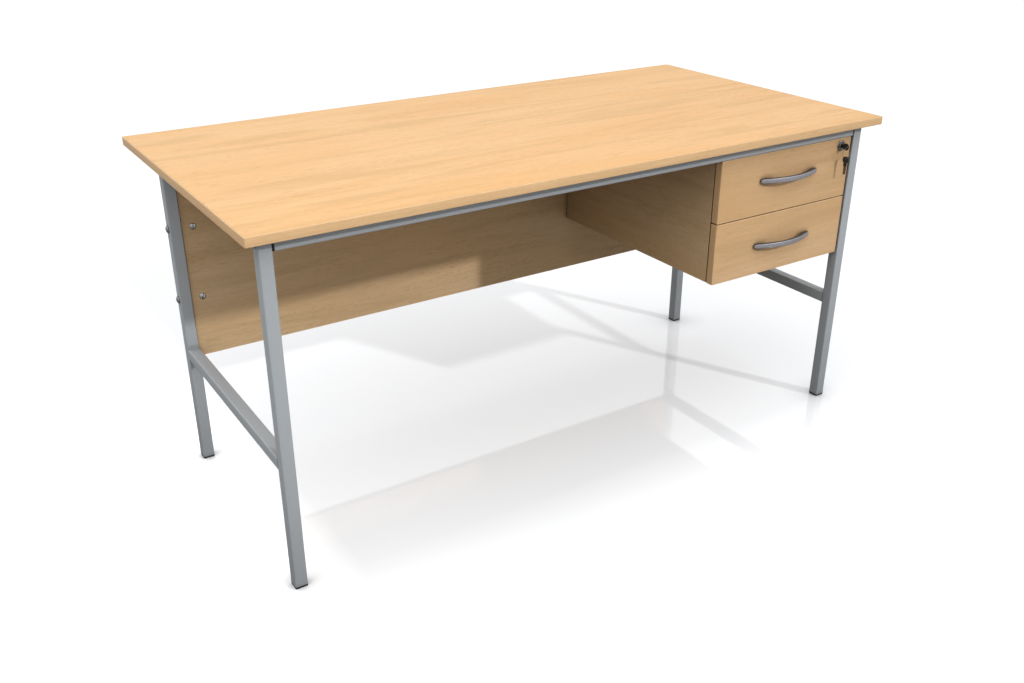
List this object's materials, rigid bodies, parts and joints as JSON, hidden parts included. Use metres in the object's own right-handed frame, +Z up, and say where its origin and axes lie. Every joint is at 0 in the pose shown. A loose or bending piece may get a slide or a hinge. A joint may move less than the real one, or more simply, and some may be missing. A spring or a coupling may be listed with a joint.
{
  "type": "teacher desk",
  "caption": "Rectangular desk with a laminated top on a square-tube frame, a modesty panel and a lockable drawer pedestal under one end.",
  "frame": {"origin": "on the floor under the middle of the desktop", "axes": "+Z up, +X along the desk to the drawer end, -Y towards the person who sits at it"},
  "size_m": [1.5, 0.75, 0.72],
  "materials": {
    "beech": "satin beech-effect laminate, grain along the board",
    "beech_edging": "satin plastic edging matched to the laminate",
    "silver_frame": "satin silver-grey powder coat",
    "black_plastic": "fine-grained moulded black plastic",
    "zinc": "bright zinc plate",
    "runner_steel": "smooth pale grey epoxy paint",
    "drawer_board": "off-white foil-faced board",
    "satin_handle": "satin silver",
    "lock_chrome": "bright chrome plate"
  },
  "bodies": {
    "desk": {"desktop": "beech", "modesty_panel": "beech", "pedestal_side_left": "beech", "pedestal_side_right": "beech", "pedestal_base": "beech", "pedestal_top": "beech", "desktop_edging": "beech_edging", "leg_front_left": "silver_frame", "foot_front_left": "black_plastic", "rail_plug_front_left": "black_plastic", "rail_bolt_front_left": "zinc", "leg_front_right": "silver_frame", "foot_front_right": "black_plastic", "rail_plug_front_right": "black_plastic", "rail_bolt_front_right": "zinc", "rail_front": "silver_frame", "leg_back_left": "silver_frame", "foot_back_left": "black_plastic", "rail_plug_back_left": "black_plastic", "rail_bolt_back_left": "zinc", "leg_back_right": "silver_frame", "foot_back_right": "black_plastic", "rail_plug_back_right": "black_plastic", "rail_bolt_back_right": "zinc", "rail_back": "silver_frame", "top_bar_left": "silver_frame", "stretcher_left": "silver_frame", "modesty_bolt_upper_left": "zinc", "barrel_nut_upper_left": "zinc", "runner_upper_left": "runner_steel", "modesty_bolt_lower_left": "zinc", "barrel_nut_lower_left": "zinc", "runner_lower_left": "runner_steel", "top_bar_right": "silver_frame", "stretcher_right": "silver_frame", "modesty_bolt_upper_right": "zinc", "barrel_nut_upper_right": "zinc", "runner_upper_right": "runner_steel", "modesty_bolt_lower_right": "zinc", "barrel_nut_lower_right": "zinc", "runner_lower_right": "runner_steel", "pedestal_back": "drawer_board"},
    "drawer_upper": {"drawer_upper_front": "beech", "drawer_upper_side_left": "runner_steel", "drawer_upper_side_right": "runner_steel", "drawer_upper_base": "drawer_board", "drawer_upper_back": "drawer_board", "drawer_upper_handle": "satin_handle", "lock_housing": "lock_chrome"},
    "drawer_lower": {"drawer_lower_front": "beech", "drawer_lower_side_left": "runner_steel", "drawer_lower_side_right": "runner_steel", "drawer_lower_base": "drawer_board", "drawer_lower_back": "drawer_board", "drawer_lower_handle": "satin_handle"},
    "lock_plug": {"lock_plug": "lock_chrome", "lock_cam": "zinc"},
    "key": {"key": "black_plastic", "key_ring": "lock_chrome"},
    "spare_key": {"spare_key": "black_plastic"}
  },
  "joints": [
    {"name": "drawer_upper_slide", "type": "slide", "parent": "desk", "child": "drawer_upper", "axis": [0, -1, 0], "range_m": [0, 0.36]},
    {"name": "drawer_lower_slide", "type": "slide", "parent": "desk", "child": "drawer_lower", "axis": [0, -1, 0], "range_m": [0, 0.36]},
    {"name": "lock_turn", "type": "hinge", "parent": "drawer_upper", "child": "lock_plug", "pos_m": [0.661, -0.341, 0.6577], "axis": [0, -1, 0], "range_deg": [0, 90]},
    {"name": "key_pull", "type": "slide", "parent": "lock_plug", "child": "key", "axis": [0, -1, 0], "range_m": [0, 0.03]},
    {"name": "spare_key_swing", "type": "hinge", "parent": "key", "child": "spare_key", "pos_m": [0.661, -0.3595, 0.6451], "axis": [0, -1, 0], "range_deg": [-90, 0]}
  ],
  "couplings": [
    {"joint": "spare_key_swing", "follows": "lock_turn", "ratio": -1}
  ]
}
